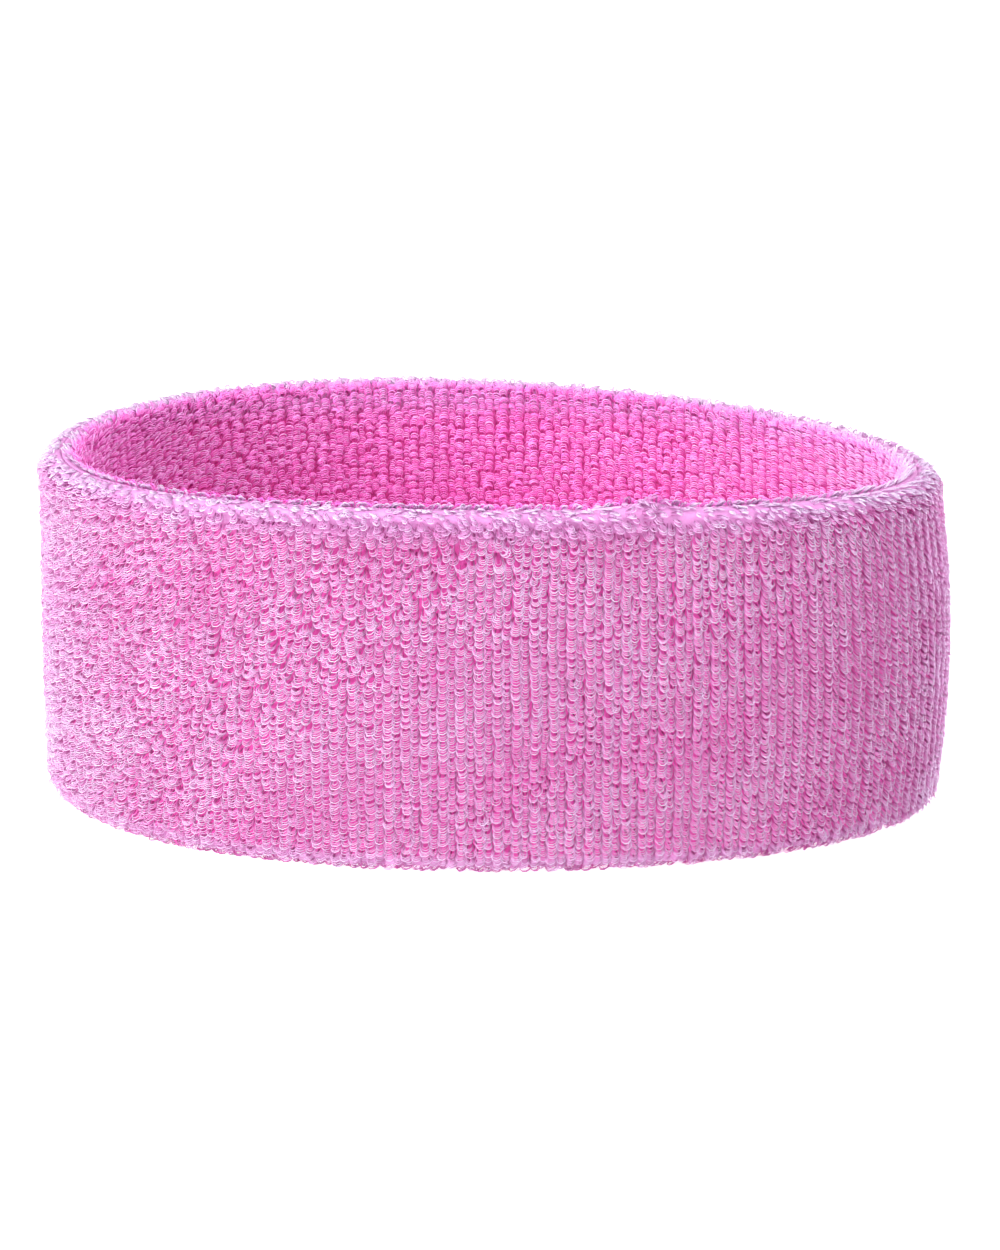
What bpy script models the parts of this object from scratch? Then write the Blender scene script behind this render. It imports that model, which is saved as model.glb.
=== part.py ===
"""A knitted terry sports headband, standing on its edge.

It is one tube of terry knit folded double, so that the pile faces out on both walls. The fold is the
bottom rim. The tube's two ends meet at the top rim, where a chain-stitched linking seam closes them in
a narrow groove. Covered elastic yarns spiral down the outer wall, round the fold and up the inner wall,
in the space between the two ground knits.

Metres, +Z up. X runs across the band's width and Y from its front to its back.
"""

import math

import bmesh
import bpy
from mathutils import Vector

MM = 0.001

# Plan: an oval a little fuller on its left side, given at the outer surface and mid height
HALF_WIDTH = 74.0 * MM
HALF_DEPTH = 52.3 * MM
LEFT_FULLNESS = 0.10
SHOULDER = 0.045

# Wall: its whole thickness, and the layers from either surface inwards
HEIGHT = 56.8 * MM
WALL = 7.4 * MM
PILE = 1.9 * MM
GROUND = 0.4 * MM
GAP = 0.3 * MM
FOOT_WIDTH = 2.6 * MM
LEAST_CORNER = 0.2 * MM
SEAM_GROOVE = 1.1 * MM
FOLD_SPLIT = 0.3 * MM

# How the soft wall stands: its rim rises at front and back, and it leans in towards its edges
RIM_TILT_X = -0.60 * MM
RIM_TILT_Y = 0.30 * MM
RIM_SAG = -0.98 * MM
RIM_TWIST = -0.26 * MM
TOP_LEAN = 1.32 * MM
TOP_LEAN_RIGHT = 1.31 * MM
BOTTOM_LEAN = 1.17 * MM
BOTTOM_LEAN_RIGHT = 0.66 * MM

# The seam's start and finish lift the front rim over a short stretch
TAIL_ANGLE = math.radians(-66.0)
TAIL_LIFT = 1.2 * MM
TAIL_SPREAD = math.radians(3.5)
TAIL_SIZE = (6.0 * MM, 1.5 * MM, 2.0 * MM)
TAIL_BELOW_TOP = 4.6 * MM

# Threads and yarns
THREAD_RADIUS = 0.25 * MM
NEEDLE_BELOW_TOP = 1.2 * MM
LOOPER_BELOW_TOP = 2.9 * MM
ELASTIC_COUNT = 4
ELASTIC_RADIUS = 0.22 * MM
ELASTIC_OFFSET = 0.55 * MM
ELASTIC_LEAD = 26.0 * MM
ELASTIC_TOP = 50.0 * MM
ELASTIC_FOLD = 3.7 * MM

STATIONS = 48
SIDE_SHARES = (0.72, 0.5, 0.28)

OUTER_PINK = (0.86, 0.40, 0.68)
INNER_PINK = (0.92, 0.30, 0.62)
GROUND_PINK = (0.75, 0.12, 0.42)
THREAD_PINK = (0.93, 0.62, 0.80)
ELASTIC_WHITE = (0.90, 0.86, 0.88)


def plan_point(angle):
    """The outer surface's outline at mid height, seen from above."""
    across, along = math.cos(angle), math.sin(angle)
    fullness = 1 - LEFT_FULLNESS * across + SHOULDER * across * across
    return Vector((HALF_WIDTH * across, HALF_DEPTH * along * fullness, 0))


def outward(angle):
    """The outline's level normal, pointing away from the head opening."""
    step = 1e-4
    run = plan_point(angle + step) - plan_point(angle - step)
    return Vector((run.y, -run.x, 0)).normalized()


def rim_change(angle):
    """How far the top rim stands above or below HEIGHT."""
    tilt = RIM_TILT_X * math.cos(angle) + RIM_TILT_Y * math.sin(angle)
    return tilt + RIM_SAG * math.cos(2 * angle) + RIM_TWIST * math.sin(2 * angle)


def lean(angle, share):
    """How far the wall stands in from the outline, at a share of its height."""
    top = max(0.0, 2 * share - 1)
    bottom = max(0.0, 1 - 2 * share)
    top_lean = TOP_LEAN + TOP_LEAN_RIGHT * math.cos(angle)
    bottom_lean = BOTTOM_LEAN + BOTTOM_LEAN_RIGHT * math.cos(angle)
    return top_lean * top * top + bottom_lean * bottom * bottom


def band_point(angle, offset, height):
    """A place in the wall: offset out from its middle, and height above the foot."""
    share = height / HEIGHT
    inset = WALL / 2 - offset + lean(angle, share)
    turn = math.remainder(angle - TAIL_ANGLE, 2 * math.pi) / TAIL_SPREAD
    lift = TAIL_LIFT * math.exp(-turn * turn) * share**8
    place = plan_point(angle) - outward(angle) * inset
    place.z = height + rim_change(angle) * share + lift
    return place


def layer_line(inset, top_steps, bottom_steps):
    """One boundary of a layer, as (offset, height) pairs from the seam groove, over the top, down the
    side and round the bottom corner to the split under the fold."""
    half = WALL / 2 - inset
    first = math.asin(SEAM_GROOVE / 2 / half)
    line = []
    for step in range(top_steps + 1):
        turn = first + (math.pi / 2 - first) * step / top_steps
        line.append((half * math.sin(turn), HEIGHT - WALL / 2 + half * math.cos(turn)))
    for share in SIDE_SHARES:
        line.append((half, HEIGHT * share))
    corner = max(half - FOOT_WIDTH / 2, LEAST_CORNER)
    for step in range(bottom_steps + 1):
        turn = math.pi / 2 * step / bottom_steps
        line.append((half - corner + corner * math.cos(turn), inset + corner - corner * math.sin(turn)))
    line.append((FOLD_SPLIT / 2, inset))
    return line


def material(name, colour, roughness):
    made = bpy.data.materials.new(name)
    made.use_nodes = True
    shader = made.node_tree.nodes["Principled BSDF"]
    shader.inputs["Base Color"].default_value = (*colour, 1)
    shader.inputs["Roughness"].default_value = roughness
    shader.inputs["Metallic"].default_value = 0
    return made


def place_object(name, data, colour, roughness=0.9):
    data.materials.append(material(name, colour, roughness))
    made = bpy.data.objects.new(name, data)
    bpy.context.collection.objects.link(made)
    return made


def wall_layer(name, side, section, colour):
    """A closed ring with the given half section, on the outer (side 1) or inner (side -1) wall."""
    shape = bmesh.new()
    rings = []
    for station in range(STATIONS):
        angle = 2 * math.pi * station / STATIONS
        places = [band_point(angle, side * offset, height) for offset, height in section]
        rings.append([shape.verts.new(place) for place in places])
    for here, after in zip(rings, rings[1:] + rings[:1]):
        for corner in range(len(section)):
            beside = (corner + 1) % len(section)
            shape.faces.new((here[corner], here[beside], after[beside], after[corner]))
    bmesh.ops.recalc_face_normals(shape, faces=shape.faces)
    mesh = bpy.data.meshes.new(name)
    shape.to_mesh(mesh)
    shape.free()
    mesh.shade_smooth()
    mesh.set_sharp_from_angle(angle=math.radians(50))
    return place_object(name, mesh, colour)


def yarn(name, places, radius, closed, colour):
    """A round yarn through the places, as a curve with a bevel."""
    curve = bpy.data.curves.new(name, "CURVE")
    curve.dimensions = "3D"
    curve.bevel_depth = radius
    curve.bevel_resolution = 0
    curve.use_fill_caps = not closed
    spline = curve.splines.new("POLY")
    spline.points.add(len(places) - 1)
    for point, place in zip(spline.points, places):
        point.co = (*place, 1)
    spline.use_cyclic_u = closed
    return place_object(name, curve, colour, 0.6)


def pile_and_ground(side, prefix, pile_colour):
    """The pile of one wall and the ground knit behind it."""
    pile = layer_line(0, 4, 2) + layer_line(PILE, 2, 1)[::-1]
    wall_layer(prefix + "_terry_pile", side, pile, pile_colour)
    face = PILE + GAP
    ground = layer_line(face, 2, 1) + layer_line(face + GROUND, 2, 1)[::-1]
    wall_layer(prefix + "_ground_knit", side, ground, GROUND_PINK)


def elastic_place(run):
    """Where an elastic yarn is in the wall's section, a length run from its start at the outer top."""
    down = ELASTIC_TOP - ELASTIC_FOLD
    fold = math.pi * ELASTIC_OFFSET
    if run < down:
        return ELASTIC_OFFSET, ELASTIC_TOP - run
    if run < down + fold:
        turn = (run - down) / ELASTIC_OFFSET
        return ELASTIC_OFFSET * math.cos(turn), ELASTIC_FOLD - ELASTIC_OFFSET * math.sin(turn)
    return -ELASTIC_OFFSET, ELASTIC_FOLD + run - down - fold


def elastic_yarn(number):
    """One laid-in elastic, a helix down the outer wall, round the fold and up the inner wall."""
    length = 2 * (ELASTIC_TOP - ELASTIC_FOLD) + math.pi * ELASTIC_OFFSET
    first = STATIONS * number // ELASTIC_COUNT
    places = []
    for step in range(int(length / ELASTIC_LEAD * STATIONS)):
        offset, height = elastic_place(ELASTIC_LEAD * step / STATIONS)
        angle = 2 * math.pi * (first + step) / STATIONS
        places.append(band_point(angle, offset, height))
    yarn("elastic_yarn_%d" % (number + 1), places, ELASTIC_RADIUS, False, ELASTIC_WHITE)


def seam_thread(name, below_top):
    """One of the linking seam's two threads, round the groove in the top rim."""
    angles = [2 * math.pi * station / STATIONS for station in range(STATIONS)]
    places = [band_point(angle, 0, HEIGHT - below_top) for angle in angles]
    yarn(name, places, THREAD_RADIUS, True, THREAD_PINK)


def seam_tail_knot():
    """The knotted thread ends, tucked between the walls under the lifted stretch of the rim."""
    shape = bmesh.new()
    bmesh.ops.create_icosphere(shape, subdivisions=2, radius=0.5)
    centre = band_point(TAIL_ANGLE, 0, HEIGHT - TAIL_BELOW_TOP)
    out = outward(TAIL_ANGLE)
    run = Vector((out.y, -out.x, 0))
    for vert in shape.verts:
        along, across, up = (part * size for part, size in zip(vert.co, TAIL_SIZE))
        vert.co = centre + run * along + out * across + Vector((0, 0, up))
    mesh = bpy.data.meshes.new("seam_tail_knot")
    shape.to_mesh(mesh)
    shape.free()
    mesh.shade_smooth()
    place_object("seam_tail_knot", mesh, THREAD_PINK, 0.6)


def main():
    for old in list(bpy.data.objects):
        bpy.data.objects.remove(old)
    pile_and_ground(1, "outer", OUTER_PINK)
    pile_and_ground(-1, "inner", INNER_PINK)
    for number in range(ELASTIC_COUNT):
        elastic_yarn(number)
    seam_thread("seam_needle_thread", NEEDLE_BELOW_TOP)
    seam_thread("seam_looper_thread", LOOPER_BELOW_TOP)
    seam_tail_knot()


main()
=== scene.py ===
"""The looks of the knitted terry sports headband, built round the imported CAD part.

The pile is real geometry: every terry loop is three thin strands bent into a U, laid over the next loop
down the outer wall, round the fold and up the inner wall. The ground knit behind it is one folded sheet.
"""

import math

import bpy
import numpy as np
from mathutils import Matrix, Vector


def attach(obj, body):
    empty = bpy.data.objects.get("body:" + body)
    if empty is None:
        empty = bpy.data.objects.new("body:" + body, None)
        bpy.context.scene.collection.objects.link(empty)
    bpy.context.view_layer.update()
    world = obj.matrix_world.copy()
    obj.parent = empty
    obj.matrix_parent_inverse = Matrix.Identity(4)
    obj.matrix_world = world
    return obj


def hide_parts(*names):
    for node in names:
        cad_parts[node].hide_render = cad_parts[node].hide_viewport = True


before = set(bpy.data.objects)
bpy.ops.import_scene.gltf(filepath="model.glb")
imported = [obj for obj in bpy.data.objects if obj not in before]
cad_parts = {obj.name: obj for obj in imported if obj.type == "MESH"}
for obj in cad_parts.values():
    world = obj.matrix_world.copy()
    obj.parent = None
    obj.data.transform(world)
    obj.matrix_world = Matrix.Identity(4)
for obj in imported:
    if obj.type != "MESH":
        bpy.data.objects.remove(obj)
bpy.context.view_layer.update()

MM = 0.001
TURN = 2 * math.pi

# The wall as part.py has it, in millimetres
HALF_WIDTH = 74.0
HALF_DEPTH = 52.3
LEFT_FULLNESS = 0.10
SHOULDER = 0.045
HEIGHT = 56.8
WALL = 7.4
PILE = 1.9
GROUND = 0.4
GAP = 0.3
FOOT_WIDTH = 2.6
LEAST_CORNER = 0.2
SEAM_GROOVE = 1.1
RIM_TILT_X = -0.60
RIM_TILT_Y = 0.30
RIM_SAG = -0.98
RIM_TWIST = -0.26
TOP_LEAN = 1.32
TOP_LEAN_RIGHT = 1.31
BOTTOM_LEAN = 1.17
BOTTOM_LEAN_RIGHT = 0.66
TAIL_ANGLE = math.radians(-66.0)
TAIL_LIFT = 1.2
TAIL_SPREAD = math.radians(3.5)
FACE = PILE + GAP

# The ground knit as it is seen: it swells over the rim and the fold, and closes the seam groove
SEAM_MEET = 0.06
RIM_LIFT = 1.3
FOLD_LIFT = 1.3
GROUND_ROW = 0.8
RIB = 0.07

# The knit: pairs of wales round the band, and courses from the seam round the fold to the seam
WALES = 286
COURSE = 1.05
LINE_INSET = 0.9
LOOP_GROOVE = 0.5
CLOSER = 0.8
RIM_THINNING = 0.25
INNER_END = 0.93
RIM_JITTER = 0.012
LOW_TOP = 3.4
LOW_RANGE = 1.6
FLOOR_GAP = 0.02

# A loop: its strands, how far it stands out and hangs down, and its U as angles round the arc
STRANDS = 3
STRAND_RADIUS = (0.066, 0.070, 0.080)
STRAND_STEP = 0.34
LOOP_HALF_WIDTH = 0.78
LOOP_OUT = 2.02
LOOP_ALONG = 1.55
LEG_SHARE = 0.12
LEG_WIDTH = 0.55
BEND_DOWN = 0.32
BEND_OUT = 0.62
ARC = np.radians([-84, -42, 0, 42, 84])
RINGS = len(ARC) + 2
SIDES = 3

SECTORS = (
    "right",
    "right_back",
    "back_right",
    "back",
    "back_left",
    "left_back",
    "left",
    "left_front",
    "front_left",
    "front",
    "front_right",
    "right_front",
)

rng = np.random.default_rng(20)


# ---------------------------------------------------------------- the wall's mapping


def plan_point(angle):
    across, along = np.cos(angle), np.sin(angle)
    fullness = 1 - LEFT_FULLNESS * across + SHOULDER * across * across
    return HALF_WIDTH * across, HALF_DEPTH * along * fullness


def outward(angle):
    step = 1e-4
    ax, ay = plan_point(angle + step)
    bx, by = plan_point(angle - step)
    nx, ny = ay - by, bx - ax
    size = np.hypot(nx, ny)
    return nx / size, ny / size


def tail_turn(angle, spread):
    """How far an angle is from the seam's tail, in spreads."""
    return (np.mod(angle - TAIL_ANGLE + math.pi, TURN) - math.pi) / spread


def wall_point(angle, offset, height):
    """Places in the wall, in millimetres: offset out from its middle, and height above the foot."""
    share = height / HEIGHT
    top = np.maximum(0, 2 * share - 1)
    bottom = np.maximum(0, 1 - 2 * share)
    lean = (TOP_LEAN + TOP_LEAN_RIGHT * np.cos(angle)) * top * top
    lean = lean + (BOTTOM_LEAN + BOTTOM_LEAN_RIGHT * np.cos(angle)) * bottom * bottom
    inset = WALL / 2 - offset + lean
    rim = RIM_TILT_X * np.cos(angle) + RIM_TILT_Y * np.sin(angle)
    rim = rim + RIM_SAG * np.cos(2 * angle) + RIM_TWIST * np.sin(2 * angle)
    turn = tail_turn(angle, TAIL_SPREAD)
    lift = TAIL_LIFT * np.exp(-turn * turn) * np.clip(share, 0, 2) ** 8
    px, py = plan_point(angle)
    nx, ny = outward(angle)
    return np.stack([px - nx * inset, py - ny * inset, height + rim * share + lift], axis=-1)


def section_line(inset, spacing, closer=0.0, groove=SEAM_GROOVE, ends=False):
    """A line at one depth under the surface, as rows of offset, height and the outward direction, from
    the seam groove over the top, down the outer side, round the fold and up the inner side. Its rows
    stand closer where it turns over the rim and the fold. Its length comes with it."""
    half = WALL / 2 - inset
    corner = max(half - FOOT_WIDTH / 2, LEAST_CORNER)
    foot = half - corner
    top = HEIGHT - WALL / 2
    low = inset + corner
    dense = []
    for turn in np.linspace(math.asin(groove / 2 / half), math.pi / 2, 60):
        out, up = math.sin(turn), math.cos(turn)
        dense.append((half * out, top + half * up, out, up))
    for share in np.linspace(0, 1, 400)[1:]:
        dense.append((half, top + (low - top) * share, 1, 0))
    for turn in np.linspace(0, math.pi / 2, 40)[1:]:
        out, up = math.cos(turn), -math.sin(turn)
        dense.append((foot + corner * out, low + corner * up, out, up))
    for share in np.linspace(0, 1, 20)[1:]:
        dense.append((foot * (1 - share), inset, 0, -1))
    outer = np.array(dense)
    inner = outer[-2::-1] * np.array([-1, 1, -1, 1])
    line = np.concatenate([outer, inner])
    steps = np.hypot(*np.diff(line[:, :2], axis=0).T)
    # The rim's rows are crowded twice as much as the fold's
    turned = np.where(line[1:, 3] > 0, 2.0, 1.0) * np.abs(line[1:, 3])
    run = np.concatenate([[0], np.cumsum(steps * (1 + closer * turned))])
    count = max(2, round(run[-1] / spacing))
    wanted = run[-1] * (np.arange(count) + 0.5) / count
    if ends:
        wanted = np.linspace(0, run[-1], count)
    return np.stack([np.interp(wanted, run, column) for column in line.T], axis=1), steps.sum()


def turned_over(out_h):
    """A soft step from 0 where the wall stands upright to 1 where it faces up, or down for -out_h."""
    share = np.clip((out_h - 0.25) / 0.6, 0, 1)
    return share * share * (3 - 2 * share)


def ground_lift(out_h):
    """How far the ground swells out over the rim and the fold, where the pile is short and lies flat."""
    return RIM_LIFT * turned_over(out_h) + FOLD_LIFT * turned_over(-out_h)


def wale_angles(count):
    """Angles evenly spaced along the outline."""
    fine = np.linspace(0, TURN, 20001)
    px, py = plan_point(fine)
    run = np.concatenate([[0], np.cumsum(np.hypot(np.diff(px), np.diff(py)))])
    return np.interp(run[-1] * np.arange(count) / count, run, fine)


def unit(vectors):
    return vectors / np.linalg.norm(vectors, axis=-1, keepdims=True)


def drift(angle, run, waves, seed):
    """Smooth seeded variation from about -1 to 1 over the wall."""
    draw = np.random.default_rng(seed)
    total = 0
    for _ in range(7):
        turns = draw.integers(1, waves)
        rows = draw.uniform(0.02, 0.02 * waves)
        total = total + np.sin(turns * angle + rows * run + draw.uniform(0, TURN)) * draw.uniform(0.4, 1)
    return total / 2.6


# ---------------------------------------------------------------- the loops


def loop_grid():
    """The foot of every loop, and the directions along the rim, down the line and out of the wall."""
    line, length = section_line(LINE_INSET, COURSE, CLOSER, LOOP_GROOVE)
    depth = FACE - LINE_INSET - ground_lift(line[:, 3])
    line[:, 0] -= line[:, 2] * depth
    line[:, 1] -= line[:, 3] * depth
    courses = len(line)
    wale = np.tile(np.arange(WALES), courses)
    course = np.repeat(np.arange(courses), WALES)

    # Fewer loops over the rim, its crest and the fold, and the inner ones end short of the seam
    up = line[course, 3]
    crest = np.clip(5 * up - 4, 0, 1)
    keep = rng.random(len(wale)) > RIM_THINNING * (turned_over(up) + 0.6 * crest + 1.6 * turned_over(-up))
    keep &= (line[course, 0] > 0) | (up < INNER_END)
    wale, course = wale[keep], course[keep]

    offset, height, out_o, out_h = line[course].T
    jitter = rng.uniform(-RIM_JITTER, RIM_JITTER, len(wale))
    angle = wale_angles(WALES)[wale] + turned_over(out_h) * jitter
    foot = wall_point(angle, offset, height)
    step = 1e-3
    rim = unit(wall_point(angle + step, offset, height) - wall_point(angle - step, offset, height))
    out = wall_point(angle, offset + out_o * step, height + out_h * step)
    out = unit(out - wall_point(angle, offset - out_o * step, height - out_h * step))
    # Each upright wale is out of step with the next
    shift = COURSE * rng.uniform(-0.5, 0.5, WALES)[wale] * (np.abs(out_h) < 0.2)
    return {
        "wale": wale,
        "shift": shift,
        "angle": angle,
        "run": course * length / courses,
        "outer": offset > 0,
        "low": np.clip((LOW_TOP - height) / LOW_RANGE, 0, 1),
        "foot": foot,
        "rim": rim,
        "down": unit(np.cross(rim, out)),
        "out": out,
        "out_h": out_h,
    }


def lay_loops(grid):
    """How every loop lies: wilder at the rim, the fold and the left, and combed flat on top of the rim."""
    count = len(grid["wale"])
    angle, run, low = grid["angle"], grid["run"], grid["low"]
    second = grid["wale"] % 2
    rim_top = np.clip(grid["out_h"], 0, 1) ** 0.7
    fold = np.clip(-grid["out_h"], 0, 1)
    left = np.clip(-np.cos(angle) - 0.3, 0, 1)
    tail = np.exp(-(tail_turn(angle, 1.1 * TAIL_SPREAD) ** 4)) * (grid["out_h"] > 0.5)
    bare = turned_over(grid["out_h"]) * (1 - 0.35 * tail)
    wild = 0.85 + 0.6 * rim_top + 0.4 * fold + 0.35 * left - 0.25 * np.cos(angle)
    wild = np.clip(wild + 0.3 * drift(angle, run, 9, 5), 0.5, 3.0)

    yaw = np.radians(10) * wild * rng.normal(size=count)
    yaw += np.radians(7) * drift(angle, run, 14, 11) + np.where(second, 0.14, -0.08) + 0.1 * np.cos(angle)
    yaw = yaw * (1 - bare) + bare * rng.normal(0.65, 0.5, count)
    yaw += 0.8 * tail * rng.normal(size=count)
    side = 0.07 * wild * rng.normal(size=count) + np.where(second, -0.10, 0.06)
    along = LOOP_ALONG + 0.18 * wild * rng.normal(size=count)
    along = along * (1 - 0.15 * bare - 0.25 * low)
    reach = LOOP_OUT + 0.09 * wild * rng.normal(size=count) + np.where(second, 0.06, -0.20)
    reach = np.clip(reach, 1.3, 2.2) * (1 - 0.76 * bare - 0.70 * low)
    width = LOOP_HALF_WIDTH * (1 + 0.11 * wild * rng.normal(size=count)) * np.where(second, 1.10, 0.94)
    width = np.clip(width, 0.4, 1.05) * (1 - 0.5 * bare) * np.where(grid["outer"], 1, 0.87)
    nest = np.clip(0.13 + 0.08 * rng.normal(size=count), 0, 0.3)
    roll = np.radians(12) * wild * rng.normal(size=count)
    roll += np.radians(np.where(second, -30, -20)) * grid["outer"]
    gap = STRAND_STEP + 0.05 * rng.normal(size=count)

    # Each strand of a loop lies a little further on and a little wider than the last
    strand = np.arange(STRANDS)
    loose = (count, STRANDS)
    return {
        "yaw": yaw,
        "side": side,
        "roll": roll,
        "bare": bare,
        "fold": fold,
        "along": along[:, None] + gap[:, None] * (strand - 1) + 0.04 * rng.normal(size=loose),
        "reach": reach[:, None] - 0.05 * strand + 0.05 * rng.normal(size=loose),
        "half": width[:, None] * (1 - nest[:, None] * (STRANDS - 1 - strand)) + 0.03 * rng.normal(size=loose),
        "radius": np.array(STRAND_RADIUS) * (1 + 0.08 * rng.normal(size=loose)),
    }


def strand_lines(lay):
    """The middle line of every strand, ring by ring: low on the first leg, over the arc, and low on the
    other leg. With it come each ring's share of the way to the crest, and the frame round it."""
    along, reach, half = lay["along"][..., None], lay["reach"][..., None], lay["half"][..., None]
    share = np.full((*lay["half"].shape, RINGS), LEG_SHARE)
    share[..., 1:-1] = 1 - half * (1 - np.cos(ARC)) / np.hypot(along, reach)
    bend_v, bend_w = BEND_DOWN * along, BEND_OUT * reach
    mid = 2 * share * (1 - share)
    u = half * np.concatenate([[-LEG_WIDTH], np.sin(ARC), [LEG_WIDTH]])
    v = mid * bend_v + share**2 * along
    w = mid * bend_w + share**2 * reach
    # Roll lifts one leg over the other
    w = w + u * np.sin(lay["roll"])[:, None, None] * share
    centre = np.stack([u, v, w], axis=-1)

    tangent = np.empty_like(centre)
    tangent[:, :, 1:-1] = centre[:, :, 2:] - centre[:, :, :-2]
    tangent[:, :, 0] = centre[:, :, 1] - centre[:, :, 0]
    tangent[:, :, -1] = centre[:, :, -1] - centre[:, :, -2]
    tangent = unit(tangent)
    slope_v = 2 * (1 - 2 * share) * bend_v + 2 * share * along
    slope_w = 2 * (1 - 2 * share) * bend_w + 2 * share * reach
    face = unit(np.stack([np.zeros_like(share), -slope_w, slope_v], axis=-1))
    across = unit(np.cross(tangent, face))
    return centre, share, np.cross(across, tangent), across


def make_loops(grid):
    """Vertices of every loop in millimetres, of shape (loops, strands, rings, sides, 3), and a painted light
    on every vertex: paler toward the crest of its strand and of its loop, a painted highlight, and darker
    below, painted shade."""
    lay = lay_loops(grid)
    centre, share, face, across = strand_lines(lay)
    turns = np.radians([90, 210, 330])[:, None]
    radius = (lay["radius"][..., None] * (0.72 + 0.38 * share**2))[..., None, None]
    ring = np.sin(turns) * face[..., None, :] + np.cos(turns) * across[..., None, :]
    ring = centre[..., None, :] + radius * ring

    def per_loop(values):
        return values[:, None, None, None]

    # Yaw about the outward direction, then into the wall, and no lower than just above the floor
    cos, sin = per_loop(np.cos(lay["yaw"])), per_loop(np.sin(lay["yaw"]))
    u, v, w = np.moveaxis(ring, -1, 0)
    u, v = u * cos + v * sin + per_loop(lay["side"]), v * cos - u * sin
    v = v + per_loop(grid["shift"])
    places = per_loop(grid["foot"])
    for reach, direction in ((u, "rim"), (v, "down"), (w, "out")):
        places = places + reach[..., None] * per_loop(grid[direction])
    places[..., 2] = np.maximum(places[..., 2], FLOOR_GAP)

    # Painted light: a painted highlight on the outward side of each strand and toward the crest of its loop,
    # and painted shade at the foot and on the two other sides; rim strands are painted pale all through with
    # lighter sides, a painted highlight for the light from above, and the fold's are darker, painted shade
    bare, fold = lay["bare"][:, None, None], lay["fold"][:, None, None]
    depth = (share + 0.9 * bare * (1 - share)) * (1 - 0.4 * fold)
    painted_side_shade = np.broadcast_to(0.3 + 0.65 * bare, share.shape)
    return places, depth[..., None] * np.stack([np.ones_like(share), painted_side_shade, painted_side_shade], axis=-1)


def loop_tone(grid, outer):
    """How pale each strand is, from 0 to 1: varied at random, the widest strand of a loop paler and the
    narrowest deeper as painted shade, deeper at the rim and the fold as painted shade where the light from
    above and from the floor falls strongest, and on the inner wall paler to the right, and a little to the
    left, as painted light."""
    across = np.cos(grid["angle"])
    # Painted shade between the nested strands: the narrowest strand deeper, the widest paler
    tone = 0.5 + 0.16 * rng.normal(size=(len(outer), STRANDS)) + np.array([-0.10, 0.0, 0.14])
    shade = 0.12 * drift(grid["angle"], grid["run"], 20, 3) + np.where(grid["wale"] % 2, 0.05, -0.05)
    # Painted shade: deeper over the rim and round the fold, where the light falls strongest
    shade -= 0.36 * np.clip(grid["out_h"], 0, 1) + 0.40 * np.clip(-grid["out_h"], 0, 1)
    # Painted light on the inner wall: paler to the right, and a little to the left
    shade += np.where(outer, 0, 0.20 * across + 0.28 * across**2 - 0.02)
    return np.clip(tone + shade[:, None], 0, 1)


# ---------------------------------------------------------------- the pile's meshes


def strand_faces():
    """Quads round one strand, with its two end caps."""
    quads = []
    for ring in range(RINGS - 1):
        for side in range(SIDES):
            a, b = ring * SIDES + side, ring * SIDES + (side + 1) % SIDES
            quads.append((a, b, b + SIDES, a + SIDES))
    last = SIDES * (RINGS - 1)
    return np.array(quads), np.array([(2, 1, 0), (last, last + 1, last + 2)])


def strand_layout(loops, corners, quad_corners):
    """A place in the layout for every face corner. Each loop has its own cell, with its strands side by
    side, and the last side of a strand ends where the first would come round again."""
    cells = math.ceil(math.sqrt(loops))
    strand = corners // (SIDES * RINGS)
    cell = strand // STRANDS
    ring = (corners % (SIDES * RINGS)) // SIDES
    side = (corners % SIDES).astype(float)
    corner = np.arange(quad_corners)
    wrap = ((corner // 4) % SIDES == SIDES - 1) & ((corner % 4 == 1) | (corner % 4 == 2))
    side[:quad_corners][wrap] = SIDES
    lane = (strand % STRANDS + 0.1 + 0.8 * side / SIDES) / STRANDS
    u = (cell % cells + 0.06 + 0.88 * lane) / cells
    v = (cell // cells + 0.06 + 0.88 * ring / (RINGS - 1)) / cells
    return np.stack([u, v], axis=1)


def pile_piece(name, places, tone, depth, material):
    """One sector of the pile as a mesh, with its own unwrapped layout, and a tone and painted light on every
    loop.
    """
    strands = len(places) * STRANDS
    quads, caps = strand_faces()
    start = np.arange(strands)[:, None, None] * SIDES * RINGS
    quads = (quads[None] + start).reshape(-1, 4)
    caps = (caps[None] + start).reshape(-1, 3)
    corners = np.concatenate([quads.ravel(), caps.ravel()])
    starts = np.concatenate([np.arange(len(quads)) * 4, quads.size + np.arange(len(caps)) * 3])

    mesh = bpy.data.meshes.new(name)
    mesh.vertices.add(strands * SIDES * RINGS)
    mesh.vertices.foreach_set("co", (places.astype(np.float32) * MM).ravel())
    mesh.loops.add(len(corners))
    mesh.loops.foreach_set("vertex_index", corners.astype(np.int32))
    mesh.polygons.add(len(starts))
    mesh.polygons.foreach_set("loop_start", starts.astype(np.int32))
    mesh.polygons.foreach_set("use_smooth", np.ones(len(starts), bool))
    mesh.update(calc_edges=True)

    layout = strand_layout(len(places), corners, quads.size)
    layer = mesh.uv_layers.new(name="OFBake")
    layer.data.foreach_set("uv", layout.astype(np.float32).ravel())
    spread_tone = np.repeat(tone.reshape(-1), SIDES * RINGS)
    for attribute, values in (("pile_tone", spread_tone), ("pile_painted_light", depth.reshape(-1))):
        made = mesh.attributes.new(attribute, "FLOAT", "POINT")
        made.data.foreach_set("value", values.astype(np.float32))
    mesh.materials.append(material)
    return add_piece(name, mesh)


def add_piece(name, mesh):
    piece = bpy.data.objects.new(name, mesh)
    bpy.context.scene.collection.objects.link(piece)
    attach(piece, "root")
    return piece


# ---------------------------------------------------------------- materials


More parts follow.
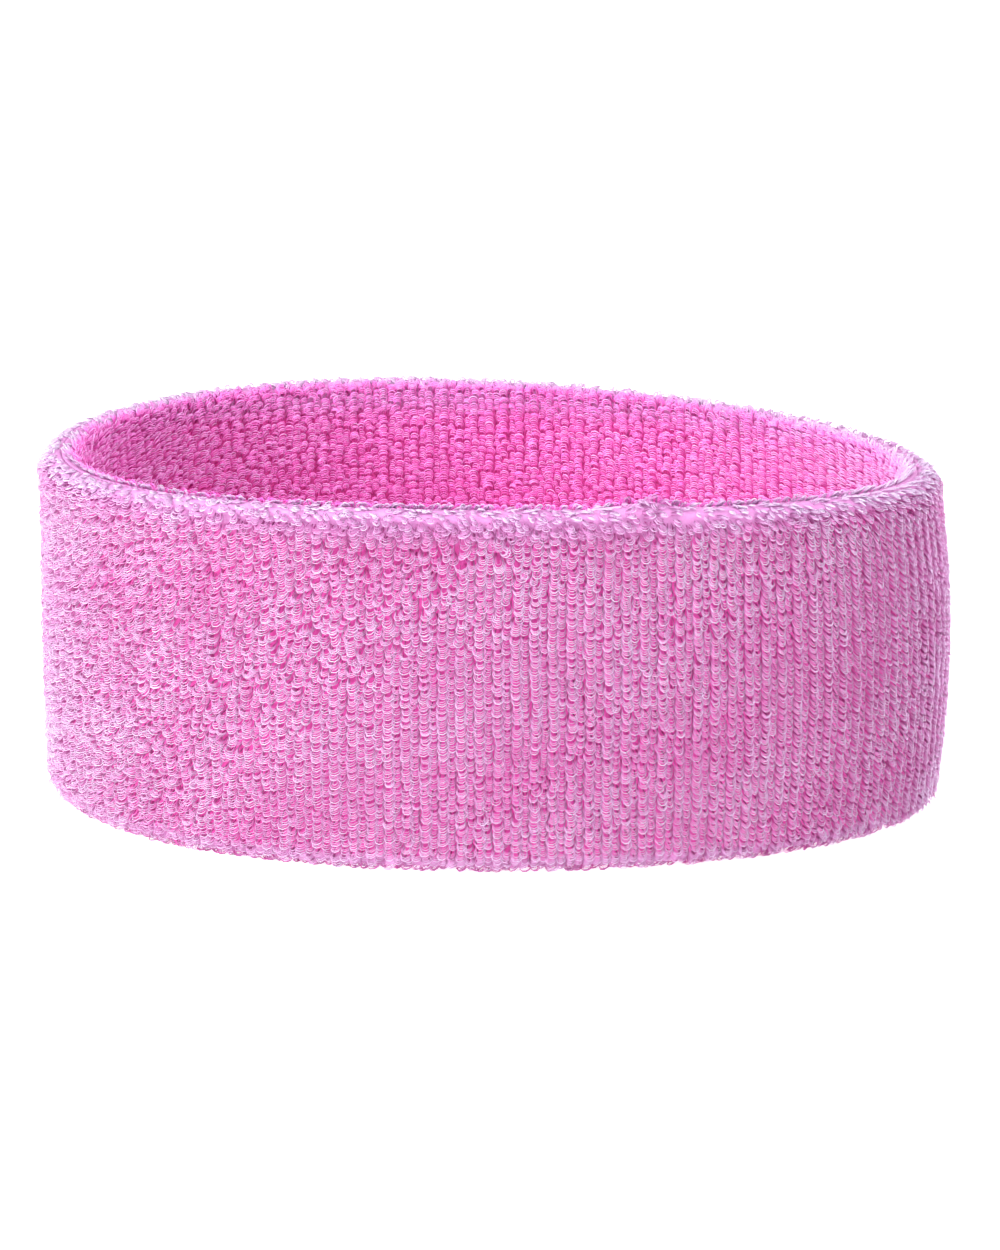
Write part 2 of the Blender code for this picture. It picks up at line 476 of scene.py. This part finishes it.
def start_material(name):
    made = bpy.data.materials.new(name)
    made.use_nodes = True
    tree = made.node_tree
    return made, tree, tree.nodes["Principled BSDF"]


def node(tree, kind, **values):
    made = tree.nodes.new(kind)
    for key, value in values.items():
        setattr(made, key, value)
    return made


def place_output(tree, output):
    return node(tree, "ShaderNodeTexCoord").outputs[output]


def noise(tree, scale, detail=2.0, distortion=0.0):
    made = node(tree, "ShaderNodeTexNoise")
    made.inputs["Scale"].default_value = scale
    made.inputs["Detail"].default_value = detail
    made.inputs["Distortion"].default_value = distortion
    tree.links.new(place_output(tree, "Object"), made.inputs["Vector"])
    return made.outputs["Fac"]


def ramp(tree, source, stops):
    made = node(tree, "ShaderNodeValToRGB")
    made.color_ramp.elements[0].position = stops[0][0]
    made.color_ramp.elements[0].color = (*stops[0][1], 1)
    made.color_ramp.elements[1].position = stops[-1][0]
    made.color_ramp.elements[1].color = (*stops[-1][1], 1)
    for position, colour in stops[1:-1]:
        made.color_ramp.elements.new(position).color = (*colour, 1)
    tree.links.new(source, made.inputs["Fac"])
    return made.outputs["Color"]


def maths(tree, operation, a, b):
    made = node(tree, "ShaderNodeMath", operation=operation)
    for socket, value in zip(made.inputs, (a, b)):
        if isinstance(value, (int, float)):
            socket.default_value = value
        else:
            tree.links.new(value, socket)
    return made.outputs[0]


def weighted(tree, value, middle, weight):
    """A texture's swing about its middle, times a weight."""
    return maths(tree, "MULTIPLY", maths(tree, "SUBTRACT", value, middle), weight)


def roughen(tree, shader, source, low, high):
    made = node(tree, "ShaderNodeMapRange")
    made.inputs["To Min"].default_value = low
    made.inputs["To Max"].default_value = high
    tree.links.new(source, made.inputs["Value"])
    tree.links.new(made.outputs["Result"], shader.inputs["Roughness"])


def raise_bump(tree, shader, source, strength, distance):
    made = node(tree, "ShaderNodeBump")
    made.inputs["Strength"].default_value = strength
    made.inputs["Distance"].default_value = distance * MM
    tree.links.new(source, made.inputs["Height"])
    tree.links.new(made.outputs["Normal"], shader.inputs["Normal"])


def soft_step(tree, source, start, end):
    """0 at one height and 1 at another, both in millimetres."""
    made = node(tree, "ShaderNodeMapRange", interpolation_type="SMOOTHSTEP")
    made.inputs["From Min"].default_value = start * MM
    made.inputs["From Max"].default_value = end * MM
    tree.links.new(source, made.inputs["Value"])
    return made.outputs["Result"]


def pile_material(name, deep, body, pale):
    """Nylon and cotton pile yarn: deeper at the foot of a loop, painted shade, and paler on its crest, a
    painted highlight.
    """
    made, tree, shader = start_material(name)
    tone = node(tree, "ShaderNodeAttribute", attribute_name="pile_tone").outputs["Fac"]
    depth = node(tree, "ShaderNodeAttribute", attribute_name="pile_painted_light").outputs["Fac"]
    fibre = noise(tree, 5200, 2.0, 0.6)
    # The painted highlight and shade on each vertex run the colour from deep to pale, with each strand's tone
    level = maths(tree, "MULTIPLY", maths(tree, "POWER", depth, 1.6), 0.85)
    level = maths(tree, "ADD", level, maths(tree, "MULTIPLY", tone, 0.60))
    level = maths(tree, "SUBTRACT", level, 0.20)
    level = maths(tree, "ADD", level, weighted(tree, fibre, 0.5, 0.30))
    level = maths(tree, "ADD", level, weighted(tree, noise(tree, 90, 3.0), 0.5, 0.25))
    colour = ramp(tree, level, [(0.0, deep), (0.5, body), (1.0, pale)])
    tree.links.new(colour, shader.inputs["Base Color"])
    roughen(tree, shader, fibre, 0.36, 0.56)
    raise_bump(tree, shader, fibre, 0.25, 0.03)
    shader.inputs["Specular IOR Level"].default_value = 0.5
    shader.inputs["Sheen Weight"].default_value = 0.06
    shader.inputs["Sheen Roughness"].default_value = 0.35
    shader.inputs["Sheen Tint"].default_value = (0.85, 0.90, 1.0, 1)
    return made


def yarn_material(name, low, high, twist, roughness):
    """A twisted thread or covered elastic: fine diagonal ridges with a paler crest."""
    made, tree, shader = start_material(name)
    wave = node(tree, "ShaderNodeTexWave", bands_direction="DIAGONAL")
    wave.inputs["Scale"].default_value = twist
    wave.inputs["Distortion"].default_value = 3.0
    wave.inputs["Detail"].default_value = 2.0
    tree.links.new(place_output(tree, "Object"), wave.inputs["Vector"])
    colour = ramp(tree, wave.outputs["Fac"], [(0.1, low), (0.9, high)])
    tree.links.new(colour, shader.inputs["Base Color"])
    roughen(tree, shader, noise(tree, 3000), roughness - 0.1, roughness + 0.1)
    raise_bump(tree, shader, wave.outputs["Fac"], 0.5, 0.08)
    shader.inputs["Sheen Weight"].default_value = 0.2
    return made


def ground_material():
    """The plain knit behind the pile: deep pink between the loops, its own pink deepened as painted shade,
    and paler where it turns over the rim and the fold, as pale as the pile there, as painted light."""
    made, tree, shader = start_material("ground_knit_pink")
    fibre = noise(tree, 2600, 3.0, 1.0)
    # Painted shade: the knit on the walls deepened where it lies between the loops
    wall = ramp(tree, fibre, [(0.25, (0.76, 0.06, 0.36)), (0.75, (0.84, 0.12, 0.52))])
    # Painted light: paler knit over the rim and the fold
    painted_light_edge = ramp(tree, fibre, [(0.25, (0.64, 0.22, 0.53)), (0.75, (0.68, 0.31, 0.62))])
    split = node(tree, "ShaderNodeSeparateXYZ")
    tree.links.new(place_output(tree, "Object"), split.inputs["Vector"])
    near_rim = soft_step(tree, split.outputs["Z"], HEIGHT - 6.0, HEIGHT - 3.0)
    near_fold = soft_step(tree, split.outputs["Z"], 3.0, 1.5)
    mix = node(tree, "ShaderNodeMix", data_type="RGBA")
    tree.links.new(maths(tree, "MAXIMUM", near_rim, near_fold), mix.inputs["Factor"])
    tree.links.new(wall, mix.inputs["A"])
    tree.links.new(painted_light_edge, mix.inputs["B"])
    tree.links.new(mix.outputs["Result"], shader.inputs["Base Color"])
    roughen(tree, shader, fibre, 0.65, 0.9)
    raise_bump(tree, shader, fibre, 0.6, 0.1)
    return made


# ---------------------------------------------------------------- the ground knit


def ground_knit():
    """One strip of knit folded under the band, open at the seam, ribbed along its wales."""
    face, _ = section_line(FACE, GROUND_ROW, 1.0, SEAM_MEET, True)
    back, _ = section_line(FACE + GROUND, GROUND_ROW, 1.0, SEAM_MEET, True)
    count = WALES * 2
    angles = wale_angles(count)
    rib = RIB * np.cos(math.pi * np.arange(count))
    rows = []
    for line, ribbed in ((face, rib), (back[::-1], 0 * rib)):
        out = ground_lift(line[:, 3])[:, None] + ribbed
        offset = line[:, 0][:, None] + line[:, 2][:, None] * out
        height = line[:, 1][:, None] + line[:, 3][:, None] * out
        rows.append(wall_point(angles[None, :] + 0 * offset, offset, height))
    places = np.concatenate(rows)
    around = len(places)
    row, column = np.meshgrid(np.arange(around), np.arange(count), indexing="ij")
    here, below = row * count, (row + 1) % around * count
    beside = (column + 1) % count
    quads = np.stack([here + column, below + column, below + beside, here + beside], axis=-1).reshape(-1, 4)
    mesh = bpy.data.meshes.new("knit_ground")
    mesh.from_pydata((places.reshape(-1, 3) * MM).tolist(), [], quads.tolist())
    mesh.shade_smooth()
    mesh.materials.append(ground_material())
    piece = add_piece("knit_ground", mesh)
    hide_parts("outer_ground_knit", "inner_ground_knit")
    return piece


# ---------------------------------------------------------------- the pieces

grid = loop_grid()
# The loops' vertices, with the painted highlight and shade on each
places, depth = make_loops(grid)
# The loops on top of the rim count as the outer pile's, on both sides of the seam
outer = grid["outer"] | (grid["out_h"] > 0.8)
sector = np.floor((grid["wale"] / WALES * len(SECTORS) + 0.5) % len(SECTORS)).astype(int)
tone = loop_tone(grid, outer)
# The inner pile is a brighter, more saturated copy of the outer pink: painted light for the light bouncing
# round inside the band and shining through it
outer_pink = pile_material("outer_pile_pink", (0.58, 0.06, 0.34), (0.60, 0.27, 0.565), (0.77, 0.70, 0.85))
inner_pink_painted_light = pile_material("inner_pile_pink_painted_light", (0.97, 0.08, 0.52), (0.99, 0.23, 0.79), (0.995, 0.68, 0.99))

for wall, chosen_wall, colour in (("outer", outer, outer_pink), ("inner", ~outer, inner_pink_painted_light)):
    for number, sector_name in enumerate(SECTORS):
        chosen = np.flatnonzero(chosen_wall & (sector == number))
        name = "pile_%s_%s" % (wall, sector_name)
        piece = pile_piece(name, places[chosen], tone[chosen], depth[chosen], colour)
        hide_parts(wall + "_terry_pile")

ground = ground_knit()

elastic = yarn_material("covered_elastic", (0.72, 0.66, 0.70), (0.93, 0.90, 0.92), 900, 0.55)
thread = yarn_material("seam_thread_pink", (0.90, 0.36, 0.76), (0.97, 0.55, 0.90), 2600, 0.7)
for name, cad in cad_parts.items():
    if name.startswith("elastic_yarn"):
        cad.material_slots[0].material = elastic
    elif name.startswith("seam_"):
        cad.material_slots[0].material = thread

# ---------------------------------------------------------------- studio

CENTRE = (0, 0, 0.0284)
FLOOR_REACH = 40.0
LIGHTS = (
    ("key", (-1.11, -0.77, 0.69), 1.3, 45),
    ("fill", (0.80, -0.86, 0.97), 1.0, 20),
    ("back", (0.72, 1.25, 0.38), 0.9, 14),
)


def floor_material():
    """A pale floor with a glow of its own, so that it shows white."""
    made, tree, shader = start_material("studio_floor")
    shader.inputs["Base Color"].default_value = (0.75, 0.75, 0.75, 1)
    shader.inputs["Roughness"].default_value = 0.9
    shader.inputs["Specular IOR Level"].default_value = 0.1
    shader.inputs["Emission Color"].default_value = (1, 1, 1, 1)
    seen = node(tree, "ShaderNodeLightPath").outputs["Is Camera Ray"]
    glow = maths(tree, "ADD", maths(tree, "MULTIPLY", seen, 0.10), 0.80)
    tree.links.new(glow, shader.inputs["Emission Strength"])
    return made


def lay_floor():
    low, high = -FLOOR_REACH, FLOOR_REACH
    mesh = bpy.data.meshes.new("studio_floor")
    mesh.from_pydata([(low, low, 0), (high, low, 0), (high, high, 0), (low, high, 0)], [], [(0, 1, 2, 3)])
    mesh.materials.append(floor_material())
    floor = bpy.data.objects.new("studio_floor", mesh)
    bpy.context.scene.collection.objects.link(floor)


def soft_light(name, place, size, power):
    light = bpy.data.lights.new(name, "AREA")
    light.shape = "DISK"
    light.size = size
    light.energy = power
    made = bpy.data.objects.new(name, light)
    made.location = place
    made.rotation_euler = (Vector(CENTRE) - Vector(place)).to_track_quat("-Z", "Y").to_euler()
    bpy.context.scene.collection.objects.link(made)


def studio_world():
    """A cool sky that shows white and lights softly, a little more from the right."""
    world = bpy.data.worlds.new("studio")
    world.use_nodes = True
    tree = world.node_tree
    sky = tree.nodes["Background"]
    sky.inputs["Color"].default_value = (0.94, 0.97, 1.0, 1)
    seen = node(tree, "ShaderNodeLightPath").outputs["Is Camera Ray"]
    strength = maths(tree, "ADD", maths(tree, "MULTIPLY", seen, 0.85), 0.24)
    facing = node(tree, "ShaderNodeSeparateXYZ")
    tree.links.new(place_output(tree, "Generated"), facing.inputs["Vector"])
    right = maths(tree, "MAXIMUM", facing.outputs["X"], 0.0)
    strength = maths(tree, "ADD", strength, maths(tree, "MULTIPLY", right, 0.12))
    tree.links.new(strength, sky.inputs["Strength"])
    return world


def photo_camera():
    """The photograph's view, with its slight roll and its off-centre framing."""
    lens = bpy.data.cameras.new("camera")
    lens.lens = 124.15
    lens.sensor_width = 36
    lens.shift_x = 0.0043
    lens.shift_y = -0.0086
    lens.clip_start = 0.01
    lens.clip_end = 200
    camera = bpy.data.objects.new("camera", lens)
    camera.location = (0.0864, -0.6742, 0.2026)
    aim = (Vector(CENTRE) - camera.location).to_track_quat("-Z", "Y").to_matrix().to_4x4()
    camera.rotation_euler = (aim @ Matrix.Rotation(math.radians(0.22), 4, "Z")).to_euler()
    bpy.context.scene.collection.objects.link(camera)
    return camera


lay_floor()
for light in LIGHTS:
    soft_light(*light)
bpy.context.scene.world = studio_world()
bpy.context.scene.view_settings.view_transform = "Standard"
bpy.context.scene.camera = photo_camera()

bpy.context.view_layer.update()
